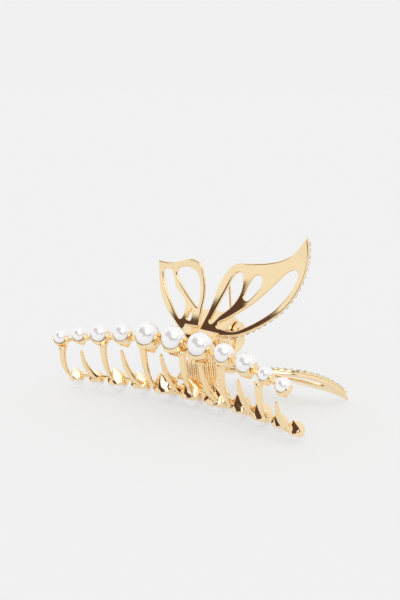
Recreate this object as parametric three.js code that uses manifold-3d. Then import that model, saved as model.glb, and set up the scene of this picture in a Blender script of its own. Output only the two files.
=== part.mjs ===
// Hair claw with two rows of imitation pearls and butterfly-wing handles, lying on its side.
// Millimetres. Everything is laid out in the clip's own axes and turned to its resting tilt at the end:
// X runs along the hinge, Y from the mouth (teeth) to the handles, Z from the lower jaw to the upper jaw.
import * as THREE from "three";
import { mergeVertices } from "three/addons/utils/BufferGeometryUtils.js";
import Module from "manifold-3d";

const wasm = await Module();
wasm.setup();

// ---- whole clip ----
const FLAT_TOLERANCE = 0.01;
const REST_TILT = THREE.MathUtils.degToRad(25.3);
const UPPER = 1;
const LOWER = -1;

// ---- pearl rows: half a row from the centre outwards ----
const PEARL_RADII = [5, 5, 4, 4, 3, 3];
const PEARL_X = [0, 13.7, 26.4, 37.9, 48.2, 57.5];
const ROW_HEIGHT = 14.8;
const ROW_DROP = 0.0011;
const ROW_BOW = 0.0028;
const PEARL_CLEARANCE = 0.2;

// ---- cups that hold the pearls, as fractions of the pearl radius ----
const CUP_RIM_WALL = 0.55;
const CUP_RIM_DEPTH = 0.4;
const CUP_PROFILE = [[0.3, 1.62], [0.66, 1.26], [0.95, 0.92], [1.06, 0.65]];
const CUP_PEAK_DEPTH = 1.95;
const LINK_RADIUS = 0.95;

// ---- teeth ----
const TOOTH_COUNT = 6;
const TOOTH_PITCH = 20.3;
const TOOTH_SHIFT = -5.1;
const TOOTH_ROOT = [-2.4, -3.2];
const TOOTH_BULGE = [-7.2, 0.5];
const TOOTH_TIP = [-4.6, 5.0];
const TOOTH_ROOT_RADIUS = 1.55;
const TOOTH_TIP_RADIUS = 0.6;
const TOOTH_STEPS = 6;

// ---- hinge ----
const PIN_Y = 28;
const PIN_RADIUS = 1.0;
const PIN_HALF_LENGTH = 9.9;
const PIN_HEAD_RADIUS = 1.5;
const PIN_HEAD_LENGTH = 0.5;
const PIN_HOLE_RADIUS = 1.09;
const EYE_RADIUS = 3.8;
const EAR_THICKNESS = 1.0;
const EAR_X = { [UPPER]: 7.2, [LOWER]: 8.6 };
const EAR_FRONT_Y = 20.5;
const EAR_BACK_Y = 29;
const PLATE_THICKNESS = 1.4;
const PLATE_HALF_WIDTH = 9.2;
const PLATE_FRONT_HALF_WIDTH = 10.2;
const PLATE_LINE = [[5.3, 10.0], [9, 8.2], [12, 7.0], [29.4, 7.0]];

// ---- spring ----
const WIRE_RADIUS = 0.45;
const COIL_RADIUS = 2.6;
const COIL_TURNS = 4;
const COIL_FROM_X = 1.6;
const COIL_TO_X = -5.2;
const UPPER_LEG_FOOT_X = 2.6;
const UPPER_LEG_HEAD = [6.4, 34.1, 22];
const LOWER_LEG_X = -6.0;
const LOWER_LEG_REACH = 13;

// ---- wings ----
const WING_THICKNESS = 1.5;
const CURVE_STEPS = 3;

// Front face of each wing as y = f(x, z), written about a point of the wing.
// All wings are dished: they lean back strongly at the root and stand up towards the tip.
// The lower forewing leans back a little more than the upper one.
const FOREWING_BEND = {
  x: 43.9,
  y: 42.3,
  z: 40.4,
  sweep: 0.133,
  sweepBend: 0.0082,
  twist: -0.0148,
  leanBend: -0.0055,
};
const FOREWING_FACE = {
  [UPPER]: { ...FOREWING_BEND, lean: 0.299 },
  [LOWER]: { ...FOREWING_BEND, lean: 0.43 },
};
const HINDWING_FACE = { x: 0, y: 26.7, z: 19, sweep: 0, sweepBend: 0, twist: 0, lean: 0.68, leanBend: -0.0146 };

// Each wing edge is a chain of smooth stretches (x, z); neighbouring stretches meet at a corner.
const FOREWING_RIM = [
  [9.9, 7.1], [13.6, 7.2], [18.7, 7.7], [24.6, 9.4], [30.4, 11.9], [34.4, 14.2], [37.6, 17.1], [40.3, 20.8],
  [42.5, 25.6], [43.9, 31], [44.3, 36.3], [43.9, 40.4],
];
const FOREWING_EDGE = [
  FOREWING_RIM,
  [[43.9, 40.4], [40.8, 37], [37.8, 34.1], [34.4, 32.4], [29.9, 31.1], [23.8, 30.1], [17.7, 29.3],
    [11.2, 28.4], [7.8, 26.9], [5, 24.4], [3, 21], [2.1, 17], [0.9, 12.6], [-1.2, 9.1]],
  [[-1.2, 9.1], [9.9, 9.1]],
  [[9.9, 9.1], [9.9, 7.1]],
];
const FOREWING_OPENINGS = [
  [[16, 9], [21.9, 10.6], [27.2, 12.8], [31.5, 15.2], [34.4, 17.6], [37, 20.4], [39.1, 23.6], [40.2, 26.6],
    [39.2, 28.4], [36, 27.7], [30, 23], [22.6, 17.6], [16.8, 14.5], [12, 12.2], [8.4, 10.8], [8, 10.1], [11, 9.7]],
  [[10, 24.8], [12.4, 25.9], [14.6, 25.6], [15.4, 23.2], [15.4, 20.6], [14.1, 17.8], [11.6, 15.3], [7.8, 12.9],
    [4.4, 10.7], [3.6, 11.2], [4.6, 13.8], [5.6, 16.4], [7.4, 20]],
  [[20.4, 25.4], [22.9, 26.1], [24.7, 25], [24.3, 22.5], [22, 20], [19.2, 18], [17.3, 18.9]],
];
const HINDWING_EDGE = [
  [[-9.9, 5.6], [-12.6, 6.4], [-18.4, 9.6], [-21.4, 11.6], [-24.2, 14.2], [-26.2, 17.3], [-27.4, 21.2],
    [-28, 28]],
  [[-28, 28], [-22.9, 27.7], [-18.2, 28.3], [-13.6, 29.6], [-9.3, 30.2], [-5.4, 28.8], [-3.7, 25.2],
    [-2.7, 21.4], [-2.4, 17.5], [-2.8, 13], [-2.4, 9]],
  [[-2.4, 9], [-9.9, 9]],
  [[-9.9, 9], [-9.9, 5.6]],
];
const HINDWING_OPENINGS = [
  [[-25.2, 24.4], [-22.8, 25.2], [-20.3, 24.5], [-17.8, 19.2], [-14.9, 17], [-12.3, 15.2], [-11.3, 12.6],
    [-12.9, 9.3], [-15.4, 10.4], [-21.2, 15.4], [-24.4, 19.8]],
  [[-17.6, 25.2], [-13.4, 26.9], [-9.6, 26.6], [-6.6, 25], [-5, 21.4], [-4.5, 17.3], [-4.9, 13.8],
    [-9.1, 15.8], [-14.1, 19.4], [-17.4, 22.8]],
  [[-9.6, 9.6], [-7.6, 9.4], [-7.9, 12.6]],
];

// ---- rhinestones on the far face of each forewing rim ----
const STONE_COUNT = 22;
const STONE_RADIUS = 0.8;
const STONE_HEIGHT = 0.8;
const STONE_INSET = 1.05;
const BAND_HALF_WIDTH = 0.6;
const BAND_THICKNESS = 0.4;
const SEAT_GAP = 0.4;

// ---- finishes ----
const gold = new THREE.MeshStandardMaterial({ color: 0xe8c48c, metalness: 1, roughness: 0.15 });
const steel = new THREE.MeshStandardMaterial({ color: 0xd9b879, metalness: 1, roughness: 0.25 });
const pearl = new THREE.MeshStandardMaterial({ color: 0xf3f0ec, metalness: 0, roughness: 0.2 });
const crystal = new THREE.MeshStandardMaterial({ color: 0xf4f6fa, metalness: 0, roughness: 0.05 });

// ---- solid helpers ----
function toSolid(geometry) {
  const bare = geometry.clone();
  bare.deleteAttribute("normal");
  bare.deleteAttribute("uv");
  const merged = mergeVertices(bare, 1e-4);
  return new wasm.Manifold(new wasm.Mesh({
    numProp: 3,
    vertProperties: new Float32Array(merged.attributes.position.array),
    triVerts: new Uint32Array(merged.index.array),
  }));
}

function toGeometry(solid) {
  const mesh = solid.asOriginal().simplify(FLAT_TOLERANCE).getMesh();
  const geometry = new THREE.BufferGeometry();
  geometry.setAttribute("position", new THREE.BufferAttribute(new Float32Array(mesh.vertProperties), 3));
  geometry.setIndex(new THREE.BufferAttribute(new Uint32Array(mesh.triVerts), 1));
  geometry.computeVertexNormals();
  return geometry;
}

function join(geometries) {
  let solid = toSolid(geometries[0]);
  for (const geometry of geometries.slice(1)) {
    solid = solid.add(toSolid(geometry));
  }
  return solid;
}

function flipTriangles(geometry) {
  const index = geometry.index.array;
  for (let i = 0; i < index.length; i += 3) {
    [index[i + 1], index[i + 2]] = [index[i + 2], index[i + 1]];
  }
  return geometry;
}

// The same piece on the other jaw: mirrored through the clip's mid-plane.
function onJaw(solid, jaw) {
  const geometry = toGeometry(solid);
  if (jaw === UPPER) {
    return geometry;
  }
  geometry.scale(1, 1, -1);
  flipTriangles(geometry);
  geometry.computeVertexNormals();
  return geometry;
}

// Closed bar through a list of rings, each ring a list of points.
function barThroughRings(rings) {
  const sides = rings[0].length;
  const positions = rings.flat().flatMap((p) => [p.x, p.y, p.z]);
  const index = [];
  for (let ring = 0; ring + 1 < rings.length; ring += 1) {
    for (let side = 0; side < sides; side += 1) {
      const a = ring * sides + side;
      const b = ring * sides + ((side + 1) % sides);
      index.push(a, b, b + sides, a, b + sides, a + sides);
    }
  }
  const last = (rings.length - 1) * sides;
  for (let side = 1; side + 1 < sides; side += 1) {
    index.push(0, side + 1, side);
    index.push(last, last + side, last + side + 1);
  }
  const geometry = new THREE.BufferGeometry();
  geometry.setAttribute("position", new THREE.Float32BufferAttribute(positions, 3));
  geometry.setIndex(index);
  return geometry;
}

// Round bar of changing radius through centre points; the points may not run along "across".
function roundBar(centres, radii, across, sides) {
  const rings = centres.map((centre, i) => {
    const before = centres[Math.max(i - 1, 0)];
    const after = centres[Math.min(i + 1, centres.length - 1)];
    const along = after.clone().sub(before).normalize();
    const up = new THREE.Vector3().crossVectors(along, across).normalize();
    const side = new THREE.Vector3().crossVectors(up, along).normalize();
    return Array.from({ length: sides }, (_, k) => {
      const turn = (2 * Math.PI * k) / sides;
      return centre.clone()
        .addScaledVector(side, radii[i] * Math.cos(turn))
        .addScaledVector(up, radii[i] * Math.sin(turn));
    });
  });
  return barThroughRings(rings);
}

// ---- pearl rows ----
function pearlSeats() {
  const seats = [];
  for (let i = -5; i <= 5; i += 1) {
    const x = Math.sign(i) * PEARL_X[Math.abs(i)];
    seats.push({ radius: PEARL_RADII[Math.abs(i)], at: onRow(x) });
  }
  return seats;
}

function onRow(x) {
  return new THREE.Vector3(x, -ROW_BOW * x * x, ROW_HEIGHT - ROW_DROP * x * x);
}

function pearlBall(seat, extra) {
  const ball = new THREE.SphereGeometry(seat.radius + extra, 12, 8);
  ball.rotateX(Math.PI / 2);
  ball.translate(seat.at.x, seat.at.y, seat.at.z);
  return ball;
}

function cup(seat) {
  const r = seat.radius;
  const profile = [[0, -CUP_PEAK_DEPTH * r]];
  for (const [across, down] of CUP_PROFILE) {
    profile.push([across * r, -down * r]);
  }
  profile.push([r + CUP_RIM_WALL, -CUP_RIM_DEPTH * r]);
  profile.push([0, -CUP_RIM_DEPTH * r]);
  const lathe = new THREE.LatheGeometry(profile.map(([a, b]) => new THREE.Vector2(a, b)), 12);
  lathe.rotateX(Math.PI / 2);
  lathe.translate(seat.at.x, seat.at.y, seat.at.z);
  return lathe;
}

function link(left, right) {
  const ends = [left, right].map((seat) => seat.at.clone().setZ(seat.at.z - 0.75 * seat.radius));
  const across = new THREE.Vector3(0, 1, 0);
  return roundBar(ends, [LINK_RADIUS, LINK_RADIUS], across, 6);
}

function tooth(x) {
  const row = onRow(x);
  const root = new THREE.Vector2(row.y + TOOTH_ROOT[0], row.z + TOOTH_ROOT[1]);
  const bulge = new THREE.Vector2(row.y + TOOTH_BULGE[0], TOOTH_BULGE[1]);
  const tip = new THREE.Vector2(row.y + TOOTH_TIP[0], TOOTH_TIP[1] - row.z);
  const arc = new THREE.QuadraticBezierCurve(root, bulge, tip).getPoints(TOOTH_STEPS);
  const centres = arc.map((p) => new THREE.Vector3(x, p.x, p.y));
  const radii = arc.map((_, i) => THREE.MathUtils.lerp(TOOTH_ROOT_RADIUS, TOOTH_TIP_RADIUS, i / TOOTH_STEPS));
  return roundBar(centres, radii, new THREE.Vector3(1, 0, 0), 6);
}

function combSolid() {
  const seats = pearlSeats();
  const pieces = seats.map(cup);
  for (let i = 0; i + 1 < seats.length; i += 1) {
    pieces.push(link(seats[i], seats[i + 1]));
  }
  for (let i = 0; i < TOOTH_COUNT; i += 1) {
    pieces.push(tooth(TOOTH_SHIFT + TOOTH_PITCH * (i - (TOOTH_COUNT - 1) / 2)));
  }
  const hollows = join(seats.map((seat) => pearlBall(seat, PEARL_CLEARANCE)));
  return join(pieces).subtract(hollows);
}

// ---- hinge plates ----
function sideProfile(points, xCentre, width) {
  const shape = new THREE.Shape(points.map(([y, z]) => new THREE.Vector2(y, z)));
  const slab = new THREE.ExtrudeGeometry(shape, { depth: width, bevelEnabled: false });
  slab.translate(0, 0, -width / 2);
  slab.applyMatrix4(new THREE.Matrix4().set(0, 0, 1, xCentre, 1, 0, 0, 0, 0, 1, 0, 0, 0, 0, 0, 1));
  return slab;
}

function plateOutline() {
  const half = PLATE_THICKNESS / 2;
  const over = PLATE_LINE.map(([y, z]) => [y, z + half]);
  const under = PLATE_LINE.map(([y, z]) => [y, z - half]).reverse();
  return [...under, ...over].reverse();
}

function plateTrim() {
  const front = PLATE_LINE[0][0] - 1;
  const back = PLATE_LINE[3][0];
  const round = 4;
  const shape = new THREE.Shape();
  shape.moveTo(-PLATE_FRONT_HALF_WIDTH, front);
  shape.lineTo(PLATE_FRONT_HALF_WIDTH, front);
  shape.quadraticCurveTo(PLATE_HALF_WIDTH, front + 6, PLATE_HALF_WIDTH, front + 11);
  shape.lineTo(PLATE_HALF_WIDTH, back - round);
  shape.quadraticCurveTo(PLATE_HALF_WIDTH, back, PLATE_HALF_WIDTH - round, back);
  shape.lineTo(round - PLATE_HALF_WIDTH, back);
  shape.quadraticCurveTo(-PLATE_HALF_WIDTH, back, -PLATE_HALF_WIDTH, back - round);
  shape.lineTo(-PLATE_HALF_WIDTH, front + 11);
  shape.quadraticCurveTo(-PLATE_HALF_WIDTH, front + 6, -PLATE_FRONT_HALF_WIDTH, front);
  const options = { depth: 20, bevelEnabled: false, curveSegments: 5 };
  return new THREE.ExtrudeGeometry(shape, options);
}

function ear(xCentre) {
  const seatZ = PLATE_LINE[3][1];
  const eye = [];
  for (let k = 0; k <= 10; k += 1) {
    const turn = THREE.MathUtils.lerp(THREE.MathUtils.degToRad(150), THREE.MathUtils.degToRad(375), k / 10);
    eye.push([PIN_Y + EYE_RADIUS * Math.cos(turn), EYE_RADIUS * Math.sin(turn)]);
  }
  return sideProfile([[EAR_FRONT_Y, seatZ], ...eye, [EAR_BACK_Y, seatZ]], xCentre, EAR_THICKNESS);
}

function alongX(radius, length, sides) {
  const bar = new THREE.CylinderGeometry(radius, radius, length, sides);
  bar.rotateZ(Math.PI / 2);
  bar.translate(0, PIN_Y, 0);
  return bar;
}

function plateSolid(jaw) {
  const slab = toSolid(sideProfile(plateOutline(), 0, 2 * PLATE_FRONT_HALF_WIDTH + 1));
  const trimmed = slab.intersect(toSolid(plateTrim()));
  const ears = join([ear(EAR_X[jaw]), ear(-EAR_X[jaw])]);
  const hole = toSolid(alongX(PIN_HOLE_RADIUS, 30, 16));
  return trimmed.add(ears).subtract(hole);
}

function pinSolid() {
  const shaft = alongX(PIN_RADIUS, 2 * PIN_HALF_LENGTH, 16);
  const heads = [1, -1].map((end) => {
    const head = alongX(PIN_HEAD_RADIUS, PIN_HEAD_LENGTH, 16);
    head.translate(end * (PIN_HALF_LENGTH - PIN_HEAD_LENGTH / 2), 0, 0);
    return head;
  });
  return join([shaft, ...heads]);
}

// ---- spring: the coil with its lower leg, and the upper leg that follows the upper jaw ----
function coilSolid() {
  const steps = COIL_TURNS * 12;
  const centres = [];
  for (let i = 0; i <= steps; i += 1) {
    const turn = (-2 * Math.PI * COIL_TURNS * i) / steps;
    const x = THREE.MathUtils.lerp(COIL_FROM_X, COIL_TO_X, i / steps);
    centres.push(new THREE.Vector3(x, PIN_Y + COIL_RADIUS * Math.cos(turn), COIL_RADIUS * Math.sin(turn)));
  }
  const legY = PIN_Y + COIL_RADIUS + 0.2;
  centres.push(new THREE.Vector3(LOWER_LEG_X, legY, -2));
  centres.push(new THREE.Vector3(LOWER_LEG_X, legY + 0.2, -LOWER_LEG_REACH));
  const radii = centres.map(() => WIRE_RADIUS);
  return toSolid(roundBar(centres, radii, new THREE.Vector3(1, 0.001, 0), 6));
}

function upperLegSolid() {
  const head = new THREE.Vector3(...UPPER_LEG_HEAD);
  const foot = new THREE.Vector3(UPPER_LEG_FOOT_X, PIN_Y + COIL_RADIUS, -1);
  return toSolid(roundBar([foot, head], [WIRE_RADIUS, WIRE_RADIUS], new THREE.Vector3(1, 0, 0), 6));
}

// ---- wings ----
function smoothEdge(stretches, closed) {
  const points = [];
  for (const stretch of stretches) {
    const knots = stretch.map(([x, z]) => new THREE.Vector3(x, z, 0));
    const curve = new THREE.CatmullRomCurve3(knots, closed, "centripetal");
    const spans = closed ? knots.length : knots.length - 1;
    const steps = knots.length === 2 ? 1 : spans * CURVE_STEPS;
    const sampled = curve.getPoints(steps).slice(0, -1);
    points.push(...sampled.map((p) => new THREE.Vector2(p.x, p.y)));
  }
  return THREE.ShapeUtils.isClockWise(points) ? points.reverse() : points;
}

// Moves each vertex of a flat drawing (x, z, depth) onto the wing; depth runs towards the mouth.
function layOnWing(geometry, face) {
  const position = geometry.attributes.position;
  for (let i = 0; i < position.count; i += 1) {
    const dx = position.getX(i) - face.x;
    const dz = position.getY(i) - face.z;
    const slopeX = face.sweep + 2 * face.sweepBend * dx + face.twist * dz;
    const slopeZ = face.lean + face.twist * dx + 2 * face.leanBend * dz;
    const y = face.y + face.sweep * dx + face.lean * dz
      + face.sweepBend * dx * dx + face.twist * dx * dz + face.leanBend * dz * dz;
    const depth = position.getZ(i) / Math.hypot(slopeX, 1, slopeZ);
    position.setXYZ(i, face.x + dx + slopeX * depth, y - depth, face.z + dz + slopeZ * depth);
  }
  return geometry;
}

function wingSolid(edge, openings, face) {
  const shape = new THREE.Shape(smoothEdge(edge, false));
  shape.holes = openings.map((opening) => new THREE.Path(smoothEdge([opening], true)));
  const plate = new THREE.ExtrudeGeometry(shape, { depth: WING_THICKNESS, bevelEnabled: false });
  plate.translate(0, 0, -WING_THICKNESS);
  return toSolid(layOnWing(plate, face));
}

function stoneStripSolid(face) {
  const knots = FOREWING_RIM.map(([x, z]) => new THREE.Vector3(x, z, 0));
  const rim = new THREE.CatmullRomCurve3(knots, false, "centripetal");
  const left = [];
  const right = [];
  const pieces = [];
  const bandFace = -WING_THICKNESS - SEAT_GAP - BAND_THICKNESS;
  for (let i = 0; i < STONE_COUNT; i += 1) {
    const at = THREE.MathUtils.lerp(0.04, 0.95, i / (STONE_COUNT - 1));
    const along = rim.getTangentAt(at);
    const inward = new THREE.Vector3(-along.y, along.x, 0);
    const centre = rim.getPointAt(at).addScaledVector(inward, STONE_INSET);
    left.push(centre.clone().addScaledVector(inward, BAND_HALF_WIDTH));
    right.push(centre.clone().addScaledVector(inward, -BAND_HALF_WIDTH));
    const stone = new THREE.CylinderGeometry(STONE_RADIUS, STONE_RADIUS * 0.5, STONE_HEIGHT, 6);
    stone.rotateX(Math.PI / 2);
    stone.translate(centre.x, centre.y, bandFace - STONE_HEIGHT / 2 + 0.1);
    pieces.push(stone);
  }
  const outline = [...left, ...right.reverse()].map((p) => new THREE.Vector2(p.x, p.y));
  const band = new THREE.ExtrudeGeometry(new THREE.Shape(outline), {
    depth: BAND_THICKNESS, bevelEnabled: false,
  });
  band.translate(0, 0, bandFace);
  pieces.push(band);
  return join(pieces.map((piece) => layOnWing(piece, face)));
}

// ---- assembly ----
const clip = new THREE.Group();
clip.name = "pearl_butterfly_hair_claw";

function add(name, geometry, material) {
  const mesh = new THREE.Mesh(geometry, material);
  mesh.name = name;
  clip.add(mesh);
}

const comb = combSolid();
const hindwing = wingSolid(HINDWING_EDGE, HINDWING_OPENINGS, HINDWING_FACE);

for (const [prefix, jaw] of [["upper", UPPER], ["lower", LOWER]]) {
  const combGeometry = toGeometry(comb);
  if (jaw === LOWER) {
    combGeometry.rotateY(Math.PI);
  }
  add(`${prefix}_comb`, combGeometry, gold);
  add(`${prefix}_hinge_plate`, onJaw(plateSolid(jaw), jaw), gold);
  const forewing = wingSolid(FOREWING_EDGE, FOREWING_OPENINGS, FOREWING_FACE[jaw]);
  add(`${prefix}_forewing`, onJaw(forewing, jaw), gold);
  add(`${prefix}_hindwing`, onJaw(hindwing, jaw), gold);
  add(`${prefix}_rhinestones`, onJaw(stoneStripSolid(FOREWING_FACE[jaw]), jaw), crystal);
  pearlSeats().forEach((seat, i) => {
    const number = String(i + 1).padStart(2, "0");
    add(`${prefix}_pearl_${number}`, onJaw(toSolid(pearlBall(seat, 0)), jaw), pearl);
  });
}
add("hinge_pin", toGeometry(pinSolid()), gold);
add("spring_coil", toGeometry(coilSolid()), steel);
add("spring_upper_leg", toGeometry(upperLegSolid()), steel);

// Turn to the resting tilt, then put the origin under the middle of the whole clip.
for (const mesh of clip.children) {
  mesh.geometry.rotateX(REST_TILT);
}
const box = new THREE.Box3().setFromObject(clip);
const middle = box.getCenter(new THREE.Vector3());
for (const mesh of clip.children) {
  mesh.geometry.translate(-middle.x, -middle.y, -box.min.z);
}

export default clip;
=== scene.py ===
import math

import bmesh
import bpy
from mathutils import Matrix, Vector, geometry, noise


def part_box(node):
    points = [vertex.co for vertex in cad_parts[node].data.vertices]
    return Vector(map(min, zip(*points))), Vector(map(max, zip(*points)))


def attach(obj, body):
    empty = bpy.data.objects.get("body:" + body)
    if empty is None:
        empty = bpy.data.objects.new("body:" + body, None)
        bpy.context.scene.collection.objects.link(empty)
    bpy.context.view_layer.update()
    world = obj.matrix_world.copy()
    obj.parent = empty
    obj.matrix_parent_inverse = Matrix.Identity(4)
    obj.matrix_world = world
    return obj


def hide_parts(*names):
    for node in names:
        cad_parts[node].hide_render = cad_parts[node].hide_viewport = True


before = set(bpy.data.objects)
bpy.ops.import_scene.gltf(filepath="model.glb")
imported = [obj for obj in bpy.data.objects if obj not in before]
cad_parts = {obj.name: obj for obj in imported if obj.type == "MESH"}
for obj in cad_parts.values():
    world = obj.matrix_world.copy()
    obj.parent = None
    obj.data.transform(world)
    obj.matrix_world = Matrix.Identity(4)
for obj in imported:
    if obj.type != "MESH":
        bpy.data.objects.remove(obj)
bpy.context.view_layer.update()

# Everything on the clip is drawn in its own axes, in millimetres, and placed by CLIP_TO_FRAME:
# X runs along the hinge, Y from the mouth (teeth) to the handles, Z from the lower jaw to the upper jaw.

# ---- camera, in metres and degrees ----
CAMERA_TARGET = Vector((0.0016, -0.0119, 0.0452))
CAMERA_DISTANCE = 0.429
CAMERA_AZIMUTH = 38.89
CAMERA_ELEVATION = 11.55
CAMERA_ROLL = 0.25
CAMERA_LENS = 63.64
CAMERA_SENSOR = 36
CAMERA_CLIP = (0.01, 100)

# ---- whole clip ----
MM = 0.001
REST_TILT = math.radians(25.3)
PIN_Y = 28
JAWS = (("upper", 1), ("lower", -1))

# ---- pearls, half a row from the centre outwards ----
PEARL_RADII = [5, 5, 4, 4, 3, 3]
PEARL_X = [0, 13.7, 26.4, 37.9, 48.2, 57.5]
ROW_HEIGHT = 14.8
ROW_DROP = 0.0011
ROW_BOW = 0.0028
PEARL_SWELL = 1.1
PEARL_UNEVENNESS = 0.004

# ---- cups; the rim, petals, back, peak and link drop are fractions of the pearl radius ----
SEAT_CLEARANCE = 0.06
CUP_WALL = 0.5
CUP_RIM_LOW = -0.44
CUP_PETAL_RISE = 0.55
CUP_PETAL_SHARPNESS = 4
CUP_BOWL_SHARES = (0.02, 0.25, 0.5, 0.75, 0.9, 1)
CUP_LIP = ((0.3, 0.1), (0.7, 0.1), (1, -0.1))
CUP_BACK = [
    (1.08, -0.66), (1.02, -0.82), (0.93, -0.97), (0.8, -1.13),
    (0.64, -1.3), (0.46, -1.48), (0.28, -1.67), (0.13, -1.83),
]
CUP_RIB_DEPTH = 0.28
CUP_RIB_STEPS = 2.5
CUP_PEAK = -1.95
CUP_PEAK_RADIUS = 0.04
CUP_SIDES = 64
LINK_RADIUS = 0.8
LINK_DROP = 0.68
LINK_FLARE = 0.9
LINK_STEPS = 12
LINK_SIDES = 20

# ---- teeth ----
TOOTH_COUNT = 6
TOOTH_PITCH = 20.3
TOOTH_SHIFT = -5.1
TOOTH_ROOT = (-2.4, -3.2)
TOOTH_BULGE = (-7.2, 0.5)
TOOTH_TIP = (-4.6, 5.0)
TOOTH_HALF_WIDTH = (1.5, 0.55)
TOOTH_HALF_DEPTH = (1.1, 0.5)
TOOTH_TAPER = 1.8
TOOTH_FLARE = 0.55
TOOTH_FLARE_SPAN = 0.16
TOOTH_BLUNT_FROM = 0.94
TOOTH_BLUNT_SPAN = 0.06
TOOTH_BLUNT_LEAST = 0.02
TOOTH_SQUARENESS = 3.2
TOOTH_STEPS = 28
TOOTH_SIDES = 32
KNOB_RADIUS = 1.15
KNOB_OFFSET = (-1.35, -0.7)

# ---- hinge; each flute is its depth, pitch and phase ----
PLATE_LINE = [(5.3, 10.0), (9, 8.2), (12, 7.0), (29.4, 7.0)]
PLATE_THICKNESS = 1.4
PLATE_HALF_WIDTH = 9.2
PLATE_FRONT_HALF_WIDTH = 10.2
PLATE_REACH = 1.7
PLATE_FLARE_Y = (6, 11)
PLATE_CORNER = 4
PLATE_BEND_REACH = 1.5
PLATE_BEVEL = 0.25
PLATE_GRID = 0.22
OUTLINE_STEPS = 8
FLUTES = ((0.06, 2.3, 0.4), (0.09, 1.13, 1.9))
FLUTE_SKEW = 0.72
EAR_X = {"upper": 7.2, "lower": 8.6}
EAR_THICKNESS = 1.0
EAR_FRONT_Y = 20.5
EAR_BACK_Y = 29
EAR_BEVEL = 0.15
EAR_GRID = 50
EYE_RADIUS = 3.8
EYE_ARC = (150, 375)
EYE_STEPS = 24
PIN_RADIUS = 1.0
PIN_HALF_LENGTH = 9.9
PIN_HEAD_RADIUS = 1.5
PIN_HEAD_LENGTH = 0.5
PIN_HEAD_EDGE = 0.1
PIN_HEAD_BEVEL = (0.05, 0.08)
PIN_NECK = 0.02
PIN_DOME_TIP = 0.05
PIN_HOLE_RADIUS = 1.06
PIN_HOLE_SIDES = 32
PIN_SIDES = 40

# ---- spring ----
WIRE_RADIUS = 0.45
WIRE_END = 0.55
WIRE_ROUNDNESS = 6
COIL_RADIUS = 2.6
COIL_TURNS = 4
COIL_TURN_STEPS = 36
COIL_X = (1.6, -5.2)
UPPER_LEG_FOOT_X = 2.6
UPPER_LEG_HEAD = (6.4, 34.1, 22)
UPPER_LEG_STEPS = 12
UPPER_LEG_TIP = 0.012
LOWER_LEG_X = -6.0
LOWER_LEG_REACH = 13
LOWER_LEG_OUT = 0.4
LOWER_LEG_TIP = 0.3
LEG_BEND_STEPS = 6
LEG_BEND_OUT = 0.2
LEG_BEND_DROP = 2

# ---- plates; the clearance and pitch are shares of the grid, and the cap's inset one of the bevel ----
CURVE_STEPS = 8
BEVEL_STEPS = 5
CORNER_HOLD = 0.4
GRID_CLEARANCE = 0.6
GRID_ROW_PITCH = 0.87
CAP_INSET = 1.25

# ---- wings ----
WING_THICKNESS = 1.5
WING_BEVEL = 0.5
WING_GRID = 1.6

# Front face of a wing as y = f(x, z) about one of its points. All wings are dished, and the lower
# forewing leans back a little more than the upper one.
FOREWING_BEND = dict(
    x=43.9, y=42.3, z=40.4, sweep=0.133, sweep_bend=0.0082, twist=-0.0148, lean_bend=-0.0055,
)
FOREWING_FACE = {"upper": dict(FOREWING_BEND, lean=0.299), "lower": dict(FOREWING_BEND, lean=0.43)}
HINDWING_FACE = dict(
    x=0, y=26.7, z=19, sweep=0, sweep_bend=0, twist=0, lean=0.68, lean_bend=-0.0146,
)

# Each wing edge is a chain of smooth stretches (x, z); neighbouring stretches meet at a corner.
FOREWING_RIM = [
    (9.9, 7.1), (13.6, 7.2), (18.7, 7.7), (24.6, 9.4), (30.4, 11.9), (34.4, 14.2), (37.6, 17.1),
    (40.3, 20.8), (42.5, 25.6), (43.9, 31), (44.3, 36.3), (43.9, 40.4),
]
FOREWING_EDGE = [
    FOREWING_RIM,
    [(43.9, 40.4), (40.8, 37), (37.8, 34.1), (34.4, 32.4), (29.9, 31.1), (23.8, 30.1), (17.7, 29.3),
     (11.2, 28.4), (7.8, 26.9), (5, 24.4), (3, 21), (2.1, 17), (0.9, 12.6), (-1.2, 7.5)],
    [(-1.2, 7.5), (9.3, 7.5)],
    [(9.3, 7.5), (9.9, 7.1)],
]
FOREWING_OPENINGS = [
    [(16, 8.9), (21.9, 10.6), (27.2, 12.8), (31.5, 15.2), (34.4, 17.6), (37, 20.4), (39.1, 23.6),
     (40.2, 26.6), (39.2, 28.4), (36, 27.7), (30, 23), (22.6, 17.6), (16.8, 14.5), (11.6, 12),
     (7.7, 10.3), (7.5, 9.5), (10, 9.2)],
    [(10, 24.8), (12.4, 25.9), (14.6, 25.6), (15.4, 23.2), (15.4, 20.6), (14.1, 17.8), (11.6, 15.3),
     (7.8, 12.9), (4.3, 10.2), (3.2, 10.4), (4.4, 13.8), (5.6, 16.4), (7.4, 20)],
    [(20.4, 25.4), (22.9, 26.1), (24.7, 25), (24.3, 22.5), (22, 20), (19.2, 18), (17.3, 18.9)],
]
HINDWING_EDGE = [
    [(-9.9, 5.6), (-12.6, 6.4), (-18.4, 9.6), (-21.4, 11.6), (-24.2, 14.2), (-26.2, 17.3), (-27.4, 21.2),
     (-28, 28)],
    [(-28, 28), (-22.9, 27.7), (-18.2, 28.3), (-13.6, 29.6), (-9.3, 30.2), (-5.4, 28.8), (-3.7, 25.2),
     (-2.7, 21.4), (-2.4, 17.5), (-2.8, 13), (-2.4, 7.5)],
    [(-2.4, 7.5), (-9.3, 7.5)],
    [(-9.3, 7.5), (-9.9, 5.6)],
]
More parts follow.
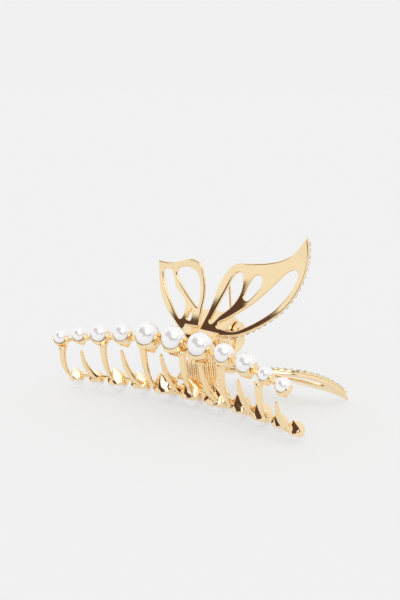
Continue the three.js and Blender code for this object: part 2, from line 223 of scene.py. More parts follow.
HINDWING_OPENINGS = [
    [(-25.2, 24.4), (-22.8, 25.2), (-20.3, 24.5), (-17.8, 19.2), (-14.9, 17), (-12.3, 15.2),
     (-11.3, 12.6), (-12.9, 9.3), (-15.4, 10.4), (-21.2, 15.4), (-24.4, 19.8)],
    [(-17.6, 25.2), (-13.4, 26.9), (-9.6, 26.6), (-6.6, 25), (-5, 21.4), (-4.5, 17.3), (-4.9, 13.8),
     (-9.1, 15.8), (-14.1, 19.4), (-17.4, 22.8)],
    [(-9.6, 9.6), (-7.6, 9.4), (-7.9, 12.6)],
]

# ---- rhinestones on the far face of each forewing rim ----
RIM_STEPS = 24
STONE_COUNT = 22
STONE_RADIUS = 0.95
STONE_INSET = 0.8
STONE_SPAN = (0.04, 0.95)
STONE_FACETS = 8
STONE_TURN = 0.13
STONE_LIFT = 0.1
# Rings of a stone's corners from the point behind to the table: share of its radius, and depth.
STONE_TIERS = [(0.06, 0.4), (0.62, 0.05), (1, -0.15), (1, -0.25), (0.56, -0.6)]
BAND_HALF_WIDTH = 0.6
BAND_THICKNESS = 0.4
SEAT_GAP = 0.4
RAIL_GAP = 0.03
RAIL_BEVEL = 0.1
RAIL_GRID = 1.2
COLLET_SIDES = 24
COLLET_PROFILE = ((0.6, 0.35), (0.78, -0.05), (0.76, -0.12), (0.66, -0.12), (0.6, 0.0), (0.4, 0.3))
CLAW_RADIUS = 0.13
CLAW_SPREAD = 0.98
CLAW_RISE = 0.3
STONE_BASE = -WING_THICKNESS - SEAT_GAP - BAND_THICKNESS

# ---- angles from which an edge stays sharp, in degrees ----
COMB_CREASE = 32
PLATE_CREASE = 40
STONE_CREASE = 5
SMALL_CREASE = 35
PEARL_CREASE = 60
WIRE_CREASE = 50

# ---- finishes: each colour drifts between two, and so does each roughness ----
GOLD_COLOURS = ((0.98, 0.775, 0.475), (0.995, 0.795, 0.5))
GOLD_ROUGHNESS = (0.04, 0.08)
GOLD_RIPPLE = 0.05
WIRE_COLOURS = ((0.9, 0.66, 0.36), (0.94, 0.7, 0.4))
WIRE_ROUGHNESS = (0.14, 0.24)
WIRE_RIPPLE = 0.1
RIPPLE_DEPTH = 0.0001
DRIFT_SCALE = 60
POLISH_SCALE = 900
RIPPLE_SCALE = 220
PEARL_LAYER_SCALE = 350
GLASS_HAZE_SCALE = 1500
PEARL_COLOURS = ((0.9, 0.885, 0.89), (0.92, 0.905, 0.905))
PEARL_ROUGHNESS = (0.22, 0.28)
PEARL_LUSTRE = 0.36
LACQUER_ROUGHNESS = 0.06
LACQUER_IOR = 1.6
GLASS_COLOURS = ((0.97, 0.98, 1), (1, 1, 1))
GLASS_ROUGHNESS = (0.0, 0.03)
GLASS_CLEARNESS = 0.7
GLASS_IOR = 1.62
DRIFT_FROM, DRIFT_TO = 0.35, 0.65

# ---- studio ----
BACKDROP_LEVEL = 0.879
FLOOR_HALF_SIZE = 20
FLOOR_FRONT = 0.2
FLOOR_GLOW = 0.528
FLOOR_COLOUR = 0.32
SURROUND_LEVEL = 0.93
LIGHTING_LEVEL = 1.0
DARK_COLOUR = (0.105, 0.058, 0.045, 1)
DARK_TOP = 58
DARK_TOP_SOFTNESS = 5
DARK_EDGE_SOFTNESS = 1.5
# Lowest elevation of the dark part of the studio for each azimuth, in degrees (0 is -Y, 90 is +X).
DARK_FROM = [
    (-180, 90), (-74, 90), (-64, 34), (-57, 23), (-50, 19), (-42, 14.5), (-34, 16), (-28, 18.5),
    (-20, 17), (-10, 12), (-5, 9), (0, 7), (8, -25), (68, -25), (80, 10), (95, 90), (180, 90),
]
KEY_AZIMUTH = 50
KEY_ELEVATION = 39
KEY_ANGLE = 46
KEY_STRENGTH = 0.45
KEY_REFLECTION = 2.4
KEY_SOFTNESS = 6


# ==== camera ====
def direction(azimuth, elevation):
    """Unit vector for an azimuth (0 is -Y, 90 is +X) and elevation in degrees."""
    a, e = math.radians(azimuth), math.radians(elevation)
    return Vector((math.sin(a) * math.cos(e), -math.cos(a) * math.cos(e), math.sin(e)))


def make_camera():
    data = bpy.data.cameras.new("camera")
    data.lens = CAMERA_LENS
    data.sensor_width = CAMERA_SENSOR
    data.clip_start, data.clip_end = CAMERA_CLIP
    camera = bpy.data.objects.new("camera", data)
    bpy.context.scene.collection.objects.link(camera)
    back = direction(CAMERA_AZIMUTH, CAMERA_ELEVATION)
    turn = back.to_track_quat("Z", "Y").to_matrix().to_4x4()
    roll = Matrix.Rotation(math.radians(CAMERA_ROLL), 4, "Z")
    place = Matrix.Translation(CAMERA_TARGET + CAMERA_DISTANCE * back)
    camera.matrix_world = place @ turn @ roll
    bpy.context.scene.camera = camera


make_camera()

pin_low, pin_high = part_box("hinge_pin")
CLIP_TO_FRAME = (
    Matrix.Translation((pin_low + pin_high) / 2)
    @ Matrix.Rotation(REST_TILT, 4, "X")
    @ Matrix.Translation((0, -PIN_Y * MM, 0))
    @ Matrix.Scale(MM, 4)
)


# ==== materials ====
def grey(level):
    return (level, level, level, 1)


def new_material(name):
    material = bpy.data.materials.new(name)
    material.use_nodes = True
    nodes = material.node_tree.nodes
    return material, nodes, material.node_tree.links, nodes["Principled BSDF"]


def object_noise(nodes, links, scale, detail):
    """Noise fixed to the piece, in metres."""
    place = nodes.new("ShaderNodeTexCoord")
    texture = nodes.new("ShaderNodeTexNoise")
    texture.inputs["Scale"].default_value = scale
    texture.inputs["Detail"].default_value = detail
    links.new(place.outputs["Object"], texture.inputs["Vector"])
    return texture.outputs["Fac"]


def colour_between(nodes, links, factor, low, high):
    ramp = nodes.new("ShaderNodeValToRGB")
    ends = zip(ramp.color_ramp.elements, (DRIFT_FROM, DRIFT_TO), (low, high))
    for stop, position, colour in ends:
        stop.position = position
        stop.color = (*colour, 1)
    links.new(factor, ramp.inputs["Fac"])
    return ramp.outputs["Color"]


def mixed(nodes, links, factor, first, second):
    """Mix of two colours; each input is a number, a colour or a socket."""
    node = nodes.new("ShaderNodeMix")
    node.data_type = "RGBA"
    colour_sockets = (node.inputs[0], node.inputs[6], node.inputs[7])
    for socket, value in zip(colour_sockets, (factor, first, second)):
        if isinstance(value, bpy.types.NodeSocket):
            links.new(value, socket)
        else:
            socket.default_value = value
    return node.outputs[2]


def value_between(nodes, links, factor, low, high):
    span = nodes.new("ShaderNodeMapRange")
    span.inputs["From Min"].default_value = DRIFT_FROM
    span.inputs["From Max"].default_value = DRIFT_TO
    span.inputs["To Min"].default_value = low
    span.inputs["To Max"].default_value = high
    links.new(factor, span.inputs["Value"])
    return span.outputs["Result"]


def bump(nodes, links, height, strength):
    node = nodes.new("ShaderNodeBump")
    node.inputs["Strength"].default_value = strength
    node.inputs["Distance"].default_value = RIPPLE_DEPTH
    links.new(height, node.inputs["Height"])
    return node.outputs["Normal"]


def plated_metal(name, colours, roughness, ripple):
    """Plated metal: a colour that drifts a little, uneven polish and faint casting ripple."""
    material, nodes, links, shader = new_material(name)
    shader.inputs["Metallic"].default_value = 1
    drift = object_noise(nodes, links, DRIFT_SCALE, 2)
    polish = object_noise(nodes, links, POLISH_SCALE, 3)
    surface = object_noise(nodes, links, RIPPLE_SCALE, 1)
    links.new(colour_between(nodes, links, drift, *colours), shader.inputs["Base Color"])
    links.new(value_between(nodes, links, polish, *roughness), shader.inputs["Roughness"])
    links.new(bump(nodes, links, surface, ripple), shader.inputs["Normal"])
    return material


def pearl_material():
    """Imitation pearl: faintly uneven rosy white under a clear, shiny lacquer."""
    material, nodes, links, shader = new_material("pearl_lacquer")
    layers = object_noise(nodes, links, PEARL_LAYER_SCALE, 2)
    links.new(colour_between(nodes, links, layers, *PEARL_COLOURS), shader.inputs["Base Color"])
    links.new(value_between(nodes, links, layers, *PEARL_ROUGHNESS), shader.inputs["Roughness"])
    shader.inputs["Metallic"].default_value = PEARL_LUSTRE
    shader.inputs["Coat Weight"].default_value = 1
    shader.inputs["Coat Roughness"].default_value = LACQUER_ROUGHNESS
    shader.inputs["Coat IOR"].default_value = LACQUER_IOR
    return material


def crystal_material():
    """Cut glass with a little milkiness."""
    material, nodes, links, shader = new_material("cut_glass")
    shader.inputs["Transmission Weight"].default_value = GLASS_CLEARNESS
    shader.inputs["IOR"].default_value = GLASS_IOR
    haze = object_noise(nodes, links, GLASS_HAZE_SCALE, 2)
    links.new(colour_between(nodes, links, haze, *GLASS_COLOURS), shader.inputs["Base Color"])
    links.new(value_between(nodes, links, haze, *GLASS_ROUGHNESS), shader.inputs["Roughness"])
    return material


def floor_material():
    """White table lit partly from below, so that shadows on it stay faint."""
    material, _, _, shader = new_material("pale_floor")
    shader.inputs["Base Color"].default_value = grey(FLOOR_COLOUR)
    shader.inputs["Roughness"].default_value = 1
    shader.inputs["Specular IOR Level"].default_value = 0
    shader.inputs["Emission Color"].default_value = grey(1)
    shader.inputs["Emission Strength"].default_value = FLOOR_GLOW
    return material


GOLD = plated_metal("gold_plating", GOLD_COLOURS, GOLD_ROUGHNESS, GOLD_RIPPLE)
SPRING_GOLD = plated_metal("gold_wire", WIRE_COLOURS, WIRE_ROUGHNESS, WIRE_RIPPLE)
PEARL = pearl_material()
CRYSTAL = crystal_material()


# ==== mesh helpers ====
def shade(mesh, angle):
    """Smooth shading with creases where faces meet at more than an angle in degrees."""
    mesh.shade_smooth()
    mesh.set_sharp_from_angle(angle=math.radians(angle))


def to_object(bm, name):
    bmesh.ops.recalc_face_normals(bm, faces=bm.faces)
    mesh = bpy.data.meshes.new(name)
    bm.to_mesh(mesh)
    bm.free()
    piece = bpy.data.objects.new(name, mesh)
    bpy.context.scene.collection.objects.link(piece)
    return piece


def applied(piece):
    """The piece with its modifiers made permanent."""
    depsgraph = bpy.context.evaluated_depsgraph_get()
    mesh = bpy.data.meshes.new_from_object(piece.evaluated_get(depsgraph))
    piece.modifiers.clear()
    piece.data = mesh
    return piece


def united(pieces):
    """One closed body from overlapping pieces."""
    body = pieces[0]
    for other in pieces[1:]:
        union = body.modifiers.new("union", "BOOLEAN")
        union.operation = "UNION"
        union.solver = "MANIFOLD"
        union.object = other
    applied(body)
    for other in pieces[1:]:
        bpy.data.objects.remove(other)
    return body


def install(piece, body, material, slot, angle, *nodes):
    """Places a piece drawn in the clip's axes, gives it its finish and ties it to its CAD body."""
    mesh = piece.data
    mesh.transform(CLIP_TO_FRAME)
    mesh.materials.clear()
    mesh.materials.append(material)
    shade(mesh, angle)
    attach(piece, body)
    if nodes:
        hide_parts(*nodes)


def mirror(piece, side):
    """Mirrors a piece drawn for the upper jaw through the clip's mid-plane when side is -1."""
    if side < 0:
        piece.data.transform(Matrix.Scale(-1, 4, (0, 0, 1)))
        piece.data.flip_normals()
    return piece


def skin(rings):
    """Closed mesh through rings of equal length, each a closed loop of points."""
    bm = bmesh.new()
    loops = [[bm.verts.new(p) for p in ring] for ring in rings]
    sides = len(rings[0])
    for low, high in zip(loops, loops[1:]):
        for k in range(sides):
            nxt = (k + 1) % sides
            bm.faces.new((low[k], low[nxt], high[nxt], high[k]))
    bm.faces.new(reversed(loops[0]))
    bm.faces.new(loops[-1])
    return bm


def superellipse(turn, power):
    """Point of a rounded square with half-size 1."""
    c, s = math.cos(turn), math.sin(turn)
    return (
        math.copysign(abs(c) ** (2 / power), c),
        math.copysign(abs(s) ** (2 / power), s),
    )


def swept_rings(centres, half_width, half_depth, power, sides):
    """Rings across a path that stays in a plane of constant x; widths run along x."""
    rings = []
    for i, centre in enumerate(centres):
        before, after = centres[max(i - 1, 0)], centres[min(i + 1, len(centres) - 1)]
        along = (after - before).normalized()
        across = Vector((1, 0, 0))
        up = along.cross(across).normalized()
        ring = []
        for k in range(sides):
            a, b = superellipse(2 * math.pi * k / sides, power)
            ring.append(centre + across * (a * half_width[i]) + up * (b * half_depth[i]))
        rings.append(ring)
    return rings


def lerp(a, b, t):
    return a + (b - a) * t


def smooth_line(points, closed, steps):
    """Centripetal Catmull-Rom line through 2D points, without its last point when open."""
    knots = [Vector(p) for p in points]
    count = len(knots)
    spans = count if closed else count - 1
    line = []
    for span in range(spans):
        p1, p2 = knots[span], knots[(span + 1) % count]
        p0 = knots[span - 1] if closed or span > 0 else 2 * p1 - p2
        p3 = knots[(span + 2) % count] if closed or span + 2 < count else 2 * p2 - p1
        t1 = math.sqrt((p1 - p0).length)
        t2 = t1 + math.sqrt((p2 - p1).length)
        t3 = t2 + math.sqrt((p3 - p2).length)
        for step in range(steps):
            t = lerp(t1, t2, step / steps)
            a1 = p0.lerp(p1, t / t1)
            a2 = p1.lerp(p2, (t - t1) / (t2 - t1))
            a3 = p2.lerp(p3, (t - t2) / (t3 - t2))
            b1 = a1.lerp(a2, t / t2)
            b2 = a2.lerp(a3, (t - t1) / (t3 - t1))
            line.append(b1.lerp(b2, (t - t1) / (t2 - t1)))
    return line


def chained(stretches):
    """Closed outline from smooth stretches; a stretch of two points stays straight."""
    outline = []
    for stretch in stretches:
        outline += smooth_line(stretch, False, 1 if len(stretch) == 2 else CURVE_STEPS)
    return outline


def signed_area(loop):
    return sum(a.x * b.y - b.x * a.y for a, b in zip(loop, loop[1:] + loop[:1])) / 2


def inside(point, loop):
    """Whether a point lies within a closed loop, by counting crossings."""
    within = False
    for a, b in zip(loop, loop[1:] + loop[:1]):
        if (a.y > point.y) != (b.y > point.y):
            if point.x < a.x + (b.x - a.x) * (point.y - a.y) / (b.y - a.y):
                within = not within
    return within


def inset(loop, distance):
    """The loop moved to its left by a distance, with its sharpest corners held back."""
    moved = []
    for k, here in enumerate(loop):
        before = (here - loop[k - 1]).normalized()
        after = (loop[(k + 1) % len(loop)] - here).normalized()
        left = Vector((-before.y - after.y, before.x + after.x))
        moved.append(here + left * (distance / max(left.length_squared / 2, CORNER_HOLD)))
    return moved


def cap_triangles(loops, grid):
    """Points and triangles that fill the first loop except its openings, with even inner points."""
    points = [p for loop in loops for p in loop]
    edges = []
    for loop in loops:
        first = sum(len(earlier) for earlier in loops[:loops.index(loop)])
        edges += [(first + k, first + (k + 1) % len(loop)) for k in range(len(loop))]
    border = list(points)
    outer, openings = loops[0], loops[1:]
    low = Vector((min(p.x for p in outer), min(p.y for p in outer)))
    high = Vector((max(p.x for p in outer), max(p.y for p in outer)))
    row = 0
    y = low.y + grid / 2
    while y < high.y:
        x = low.x + (row % 2) * grid / 2
        while x < high.x:
            point = Vector((x, y))
            clear = all((point - b).length > GRID_CLEARANCE * grid for b in border)
            if clear and inside(point, outer) and not any(inside(point, o) for o in openings):
                points.append(point)
            x += grid
        y += GRID_ROW_PITCH * grid
        row += 1
    spots, _, faces, *_ = geometry.delaunay_2d_cdt(points, edges, [], 0, 1e-6)
    kept = []
    for face in faces:
        middle = sum((spots[k] for k in face), Vector((0, 0))) / 3
        if inside(middle, outer) and not any(inside(middle, o) for o in openings):
            kept.append(face)
    return spots, kept


def bent_plate(name, loops, thickness, bevel, grid, lay):
    """Plate with rounded edges and openings, drawn flat as (x, y, depth) and then laid on a surface.

    The first loop is the outline. depth runs from -thickness to 0, and lay(x, y, depth) gives the final
    point.
    """
    turned = []
    for index, loop in enumerate(loops):
        points = [Vector(p) for p in loop]
        wanted = 1 if index == 0 else -1
        turned.append(points if signed_area(points) * wanted > 0 else points[::-1])
    levels = [(CAP_INSET * bevel, 0)]
    for k in range(BEVEL_STEPS + 1):
        turn = math.radians(90 * k / BEVEL_STEPS)
        levels.append((bevel * (1 - math.sin(turn)), -bevel * (1 - math.cos(turn))))
    levels += [(across, -thickness - depth) for across, depth in reversed(levels)]
    bm = bmesh.new()
    spots, triangles = cap_triangles([inset(loop, levels[0][0]) for loop in turned], grid)
    caps = [[bm.verts.new(lay(p.x, p.y, depth)) for p in spots] for depth in (0, -thickness)]
    for cap in caps:
        for triangle in triangles:
            bm.faces.new([cap[k] for k in triangle])
    first = 0
    for loop in turned:
        count = len(loop)
        walls = [caps[0][first:first + count]]
        for across, depth in levels[1:-1]:
            walls.append([bm.verts.new(lay(p.x, p.y, depth)) for p in inset(loop, across)])
        walls.append(caps[1][first:first + count])
        for low, high in zip(walls, walls[1:]):
            for k in range(count):
                nxt = (k + 1) % count
                bm.faces.new((low[k], low[nxt], high[nxt], high[k]))
        first += count
    return to_object(bm, name)


# ==== pearls ====
def pearl_seats():
    seats = []
    last = len(PEARL_X) - 1
    for i in range(-last, last + 1):
        x = math.copysign(PEARL_X[abs(i)], i)
        seats.append((PEARL_RADII[abs(i)], on_row(x)))
    return seats


def on_row(x):
    return Vector((x, -ROW_BOW * x * x, ROW_HEIGHT - ROW_DROP * x * x))


def make_pearl(name, radius, centre):
    """A bead moulded slightly out of round."""
    bm = bmesh.new()
    bmesh.ops.create_icosphere(bm, subdivisions=5, radius=radius)
    for v in bm.verts:
        swell = noise.noise(v.co * (PEARL_SWELL / radius) + centre)
        v.co *= 1 + PEARL_UNEVENNESS * swell * (min(PEARL_RADII) / radius)
        v.co += centre
    return to_object(bm, name)


# ==== combs ====
def cup_rings(radius):
    """Rings round a pearl at the origin: up the bowl, over the petalled rim and down to the peak."""
    bowl = radius + SEAT_CLEARANCE
    turns = [2 * math.pi * k / CUP_SIDES for k in range(CUP_SIDES)]
    petals = [abs(math.cos(t)) ** CUP_PETAL_SHARPNESS for t in turns]
    rise = [radius * (CUP_RIM_LOW + CUP_PETAL_RISE * petal) for petal in petals]
    rings = []
    for share in CUP_BOWL_SHARES:
        ring = []
        for t, top in zip(turns, rise):
            slope = lerp(math.pi, math.acos(top / bowl), share)
            ring.append(Vector((
                bowl * math.sin(slope) * math.cos(t),
                bowl * math.sin(slope) * math.sin(t),
                bowl * math.cos(slope),
            )))
        rings.append(ring)
    for outward, lift in CUP_LIP:
        ring = []
        for t, top in zip(turns, rise):
            across = math.sqrt(bowl * bowl - top * top) + outward * CUP_WALL
            ring.append(Vector((across * math.cos(t), across * math.sin(t), top + lift)))
        rings.append(ring)
    for step, (across, down) in enumerate(CUP_BACK):
        rib = CUP_RIB_DEPTH * min(1, step / CUP_RIB_STEPS)
        ring = []
        for t in turns:
            reach = across * radius * (1 - rib * abs(math.sin(2 * t)))
            ring.append(Vector((reach * math.cos(t), reach * math.sin(t), down * radius)))
        rings.append(ring)
    point = CUP_PEAK_RADIUS
    rings.append([Vector((point * math.cos(t), point * math.sin(t), CUP_PEAK * radius)) for t in turns])
    return rings


def make_cup(radius, centre):
    along_row = Matrix.Rotation(math.atan(-2 * ROW_BOW * centre.x), 4, "Z")
    place = Matrix.Translation(centre) @ along_row
    bm = skin(cup_rings(radius))
    bmesh.ops.transform(bm, matrix=place, verts=bm.verts)
    return to_object(bm, "cup")


def make_link(left, right):
    """Bar between two cups, thicker where it runs into them."""
    ends = [centre - Vector((0, 0, LINK_DROP * radius)) for radius, centre in (left, right)]
    along = (ends[1] - ends[0]).normalized()
    side = along.cross(Vector((0, 0, 1))).normalized()
    up = side.cross(along)
    turns = [2 * math.pi * k / LINK_SIDES for k in range(LINK_SIDES)]
    rings = []
    for i in range(LINK_STEPS + 1):
        t = i / LINK_STEPS
        spread = abs(2 * t - 1)
        thick = LINK_RADIUS * (1 + LINK_FLARE * spread ** 3)
        middle = ends[0].lerp(ends[1], t)
        rings.append([
            middle + side * (thick * math.cos(turn)) + up * (thick * math.sin(turn))
            for turn in turns
        ])
    return to_object(skin(rings), "link")


def make_tooth(x):
    row = on_row(x)
    root = Vector((x, row.y + TOOTH_ROOT[0], row.z + TOOTH_ROOT[1]))
    bulge = Vector((x, row.y + TOOTH_BULGE[0], TOOTH_BULGE[1]))
    tip = Vector((x, row.y + TOOTH_TIP[0], TOOTH_TIP[1] - row.z))
    centres, widths, depths = [], [], []
    for i in range(TOOTH_STEPS + 1):
        t = i / TOOTH_STEPS
        centres.append(root.lerp(bulge, t).lerp(bulge.lerp(tip, t), t))
        flare = TOOTH_FLARE * max(0, 1 - t / TOOTH_FLARE_SPAN) ** 2
        past = max(0, (t - TOOTH_BLUNT_FROM) / TOOTH_BLUNT_SPAN)
        blunt = math.sqrt(max(TOOTH_BLUNT_LEAST, 1 - past ** 2))
        widths.append((lerp(*TOOTH_HALF_WIDTH, t ** TOOTH_TAPER) + flare) * blunt)
        depths.append((lerp(*TOOTH_HALF_DEPTH, t ** TOOTH_TAPER) + flare) * blunt)
    rings = swept_rings(centres, widths, depths, TOOTH_SQUARENESS, TOOTH_SIDES)
    return to_object(skin(rings), "tooth")


def make_knob(x):
    """Cast bead that covers the joint of a tooth and the row."""
    root = on_row(x) + Vector((0, TOOTH_ROOT[0] + KNOB_OFFSET[0], TOOTH_ROOT[1] + KNOB_OFFSET[1]))
    bm = bmesh.new()
    bmesh.ops.create_icosphere(bm, subdivisions=4, radius=KNOB_RADIUS)
    bmesh.ops.translate(bm, vec=root, verts=bm.verts)
    return to_object(bm, "knob")


def make_comb(name):
    seats = pearl_seats()
    parts = [make_cup(*seat) for seat in seats]
    parts += [make_link(left, right) for left, right in zip(seats, seats[1:])]
    for i in range(TOOTH_COUNT):
        x = TOOTH_SHIFT + TOOTH_PITCH * (i - (TOOTH_COUNT - 1) / 2)
        parts += [make_tooth(x), make_knob(x)]
    comb = united(parts)
    comb.name = name
    return comb


# ==== hinge ====
def plate_height(y):
    """Height and slope of the hinge plate's middle at y."""
    for (y0, z0), (y1, z1) in zip(PLATE_LINE, PLATE_LINE[1:]):
        if y <= y1:
            break
    slope = (z1 - z0) / (y1 - y0)
    return z0 + slope * (y - y0), slope


def soft_plate_height(y):
    """The same line with its bends rounded, as an average of nine nearby places."""
    samples = [plate_height(y + PLATE_BEND_REACH * k / 4) for k in range(-4, 5)]
    return sum(s[0] for s in samples) / 9, sum(s[1] for s in samples) / 9


def lay_on_plate(x, y, depth):
    """Point of the plate from its flat drawing; the face towards the hair is unevenly fluted."""
    height, slope = soft_plate_height(y)
    across = x + FLUTE_SKEW * y
    flute = sum(deep * math.cos(2 * math.pi * across / pitch + start) for deep, pitch, start in FLUTES)
    away = (depth + PLATE_THICKNESS / 2 - flute * depth / PLATE_THICKNESS) / math.hypot(1, slope)
    return Vector((x, y - slope * away, height + away))


def plate_outline():
    """Flat outline: it flares towards the front and has rounded corners at the back."""
    front, back = PLATE_LINE[0][0] - PLATE_REACH, PLATE_LINE[-1][0]
    bend, straight = front + PLATE_FLARE_Y[0], front + PLATE_FLARE_Y[1]
    half = []
    for k in range(OUTLINE_STEPS + 1):
        t = k / OUTLINE_STEPS
        x = lerp(lerp(PLATE_FRONT_HALF_WIDTH, PLATE_HALF_WIDTH, t), PLATE_HALF_WIDTH, t)
        y = lerp(lerp(front, bend, t), lerp(bend, straight, t), t)
        half.append((x, y))
    for k in range(OUTLINE_STEPS + 1):
        turn = math.radians(90 * k / OUTLINE_STEPS)
        half.append((
            PLATE_HALF_WIDTH - PLATE_CORNER + PLATE_CORNER * math.cos(turn),
            back - PLATE_CORNER + PLATE_CORNER * math.sin(turn),
        ))
    return half + [(-x, y) for x, y in reversed(half)]


def circle(y, z, radius, count):
    turns = [2 * math.pi * k / count for k in range(count)]
    return [(y + radius * math.cos(t), z + radius * math.sin(t)) for t in turns]


def ear_outline():
    top = PLATE_LINE[-1][1]
    eye = []
    for k in range(EYE_STEPS + 1):
        turn = math.radians(lerp(*EYE_ARC, k / EYE_STEPS))
        eye.append((PIN_Y + EYE_RADIUS * math.cos(turn), EYE_RADIUS * math.sin(turn)))
    return [(EAR_FRONT_Y, top)] + eye + [(EAR_BACK_Y, top)]


def make_ear(x):
    loops = [ear_outline(), circle(PIN_Y, 0, PIN_HOLE_RADIUS, PIN_HOLE_SIDES)]

    def lay(y, z, depth):
        return Vector((x + depth + EAR_THICKNESS / 2, y, z))

    return bent_plate("ear", loops, EAR_THICKNESS, EAR_BEVEL, EAR_GRID, lay)


def make_hinge_plate(jaw):
    slab = bent_plate("slab", [plate_outline()], PLATE_THICKNESS, PLATE_BEVEL, PLATE_GRID, lay_on_plate)
    plate = united([slab, make_ear(EAR_X[jaw]), make_ear(-EAR_X[jaw])])
    plate.name = f"hinge_plate_{jaw}"
    return plate


def turned_x(name, profile, sides):
    """Body of revolution about the pin's axis, from (x, radius) points."""
    rings = []
    for x, radius in profile:
        turns = [2 * math.pi * k / sides for k in range(sides)]
        rings.append([Vector((x, PIN_Y + radius * math.cos(t), radius * math.sin(t))) for t in turns])
    return to_object(skin(rings), name)


def make_pin():
    """Riveted pin: a plain shaft with a low domed head at each end."""
    shoulder = PIN_HALF_LENGTH - PIN_HEAD_LENGTH
    dome = []
    for k in range(OUTLINE_STEPS):
        turn = math.radians(90 * k / OUTLINE_STEPS)
        x = shoulder + PIN_HEAD_EDGE + (PIN_HEAD_LENGTH - PIN_HEAD_EDGE) * math.sin(turn)
        dome.append((x, PIN_HEAD_RADIUS * math.cos(turn)))
    shaft = [(0, PIN_RADIUS), (shoulder - PIN_NECK, PIN_RADIUS)]
    bevel_x, bevel_radius = PIN_HEAD_BEVEL
    edge = [(shoulder, PIN_HEAD_RADIUS - bevel_radius), (shoulder + bevel_x, PIN_HEAD_RADIUS)]
    right = shaft + edge + dome + [(PIN_HALF_LENGTH, PIN_DOME_TIP)]
    left = [(-x, r) for x, r in reversed(right[1:])]
    return turned_x("riveted_pin", left + right, PIN_SIDES)


def wire(name, path):
    """Round spring wire with rounded ends along a path."""
    curve = bpy.data.curves.new(name, "CURVE")
    curve.dimensions = "3D"
    curve.bevel_depth = WIRE_RADIUS
    curve.bevel_resolution = WIRE_ROUNDNESS
    curve.use_fill_caps = True
    spline = curve.splines.new("POLY")
    spline.points.add(len(path) - 1)
    for point, at in zip(spline.points, path):
        point.co = (*at, 1)
    for end in (spline.points[0], spline.points[-1]):
        end.radius = WIRE_END
    drawing = bpy.data.objects.new(name, curve)
    bpy.context.scene.collection.objects.link(drawing)
    depsgraph = bpy.context.evaluated_depsgraph_get()
    mesh = bpy.data.meshes.new_from_object(drawing.evaluated_get(depsgraph))
    bpy.data.objects.remove(drawing)
    bm = bmesh.new()
    bm.from_mesh(mesh)
    bmesh.ops.remove_doubles(bm, verts=bm.verts, dist=1e-4)
    return to_object(bm, name)


def make_coil():
    """Coil round the pin, and the leg that bends off its last turn down to the lower plate."""
    steps = COIL_TURNS * COIL_TURN_STEPS
    path = []
    for i in range(steps + 1):
        turn = -2 * math.pi * COIL_TURNS * i / steps
        x = lerp(*COIL_X, i / steps)
        path.append(Vector((x, PIN_Y + COIL_RADIUS * math.cos(turn), COIL_RADIUS * math.sin(turn))))
    leg_y = PIN_Y + COIL_RADIUS
    for i in range(1, LEG_BEND_STEPS + 1):
        bend = math.radians(90 * i / LEG_BEND_STEPS)
        x = lerp(COIL_X[1], LOWER_LEG_X, math.sin(bend))
        out, down = LEG_BEND_OUT * math.sin(bend), LEG_BEND_DROP * (1 - math.cos(bend))
        path.append(Vector((x, leg_y + out, -down)))
    path.append(Vector((LOWER_LEG_X, leg_y + LOWER_LEG_OUT, LOWER_LEG_TIP - LOWER_LEG_REACH)))
    path.append(Vector((LOWER_LEG_X, leg_y + LOWER_LEG_OUT, -LOWER_LEG_REACH)))
    return wire("spring_coil_wire", path)


def make_upper_leg():
    head = Vector(UPPER_LEG_HEAD)
    foot = Vector((UPPER_LEG_FOOT_X, PIN_Y + COIL_RADIUS, -1))
    path = [foot.lerp(head, i / UPPER_LEG_STEPS) for i in range(UPPER_LEG_STEPS)]
    path += [head.lerp(foot, UPPER_LEG_TIP), head]
    return wire("spring_upper_wire", path)


# ==== wings ====
def lay_on_wing(face, x, z, depth):
    """Point of a wing from its flat drawing; depth runs towards the mouth."""
    dx, dz = x - face["x"], z - face["z"]
    slope_x = face["sweep"] + 2 * face["sweep_bend"] * dx + face["twist"] * dz
    slope_z = face["lean"] + face["twist"] * dx + 2 * face["lean_bend"] * dz
    y = (
        face["y"] + face["sweep"] * dx + face["lean"] * dz
        + face["sweep_bend"] * dx * dx + face["twist"] * dx * dz + face["lean_bend"] * dz * dz
    )
    away = depth / math.hypot(slope_x, 1, slope_z)
    return Vector((x + slope_x * away, y - away, z + slope_z * away))


def make_wing(name, edge, openings, face):
    loops = [chained(edge)] + [smooth_line(opening, True, CURVE_STEPS) for opening in openings]

    def lay(x, z, depth):
        return lay_on_wing(face, x, z, depth)

    return bent_plate(name, loops, WING_THICKNESS, WING_BEVEL, WING_GRID, lay)


def stone_places():
    """Centre and inward direction of each stone along the forewing's rim, flat."""
    rim = smooth_line(FOREWING_RIM, False, RIM_STEPS)
    lengths = [0]
    for a, b in zip(rim, rim[1:]):
        lengths.append(lengths[-1] + (b - a).length)
    places = []
    for i in range(STONE_COUNT):
        goal = lerp(*STONE_SPAN, i / (STONE_COUNT - 1)) * lengths[-1]
        k = max(j for j in range(len(rim) - 1) if lengths[j] <= goal)
        along = (rim[k + 1] - rim[k]).normalized()
        inward = Vector((-along.y, along.x))
        on_rim = rim[k] + along * (goal - lengths[k])
        places.append((on_rim + inward * STONE_INSET, inward))
    return places


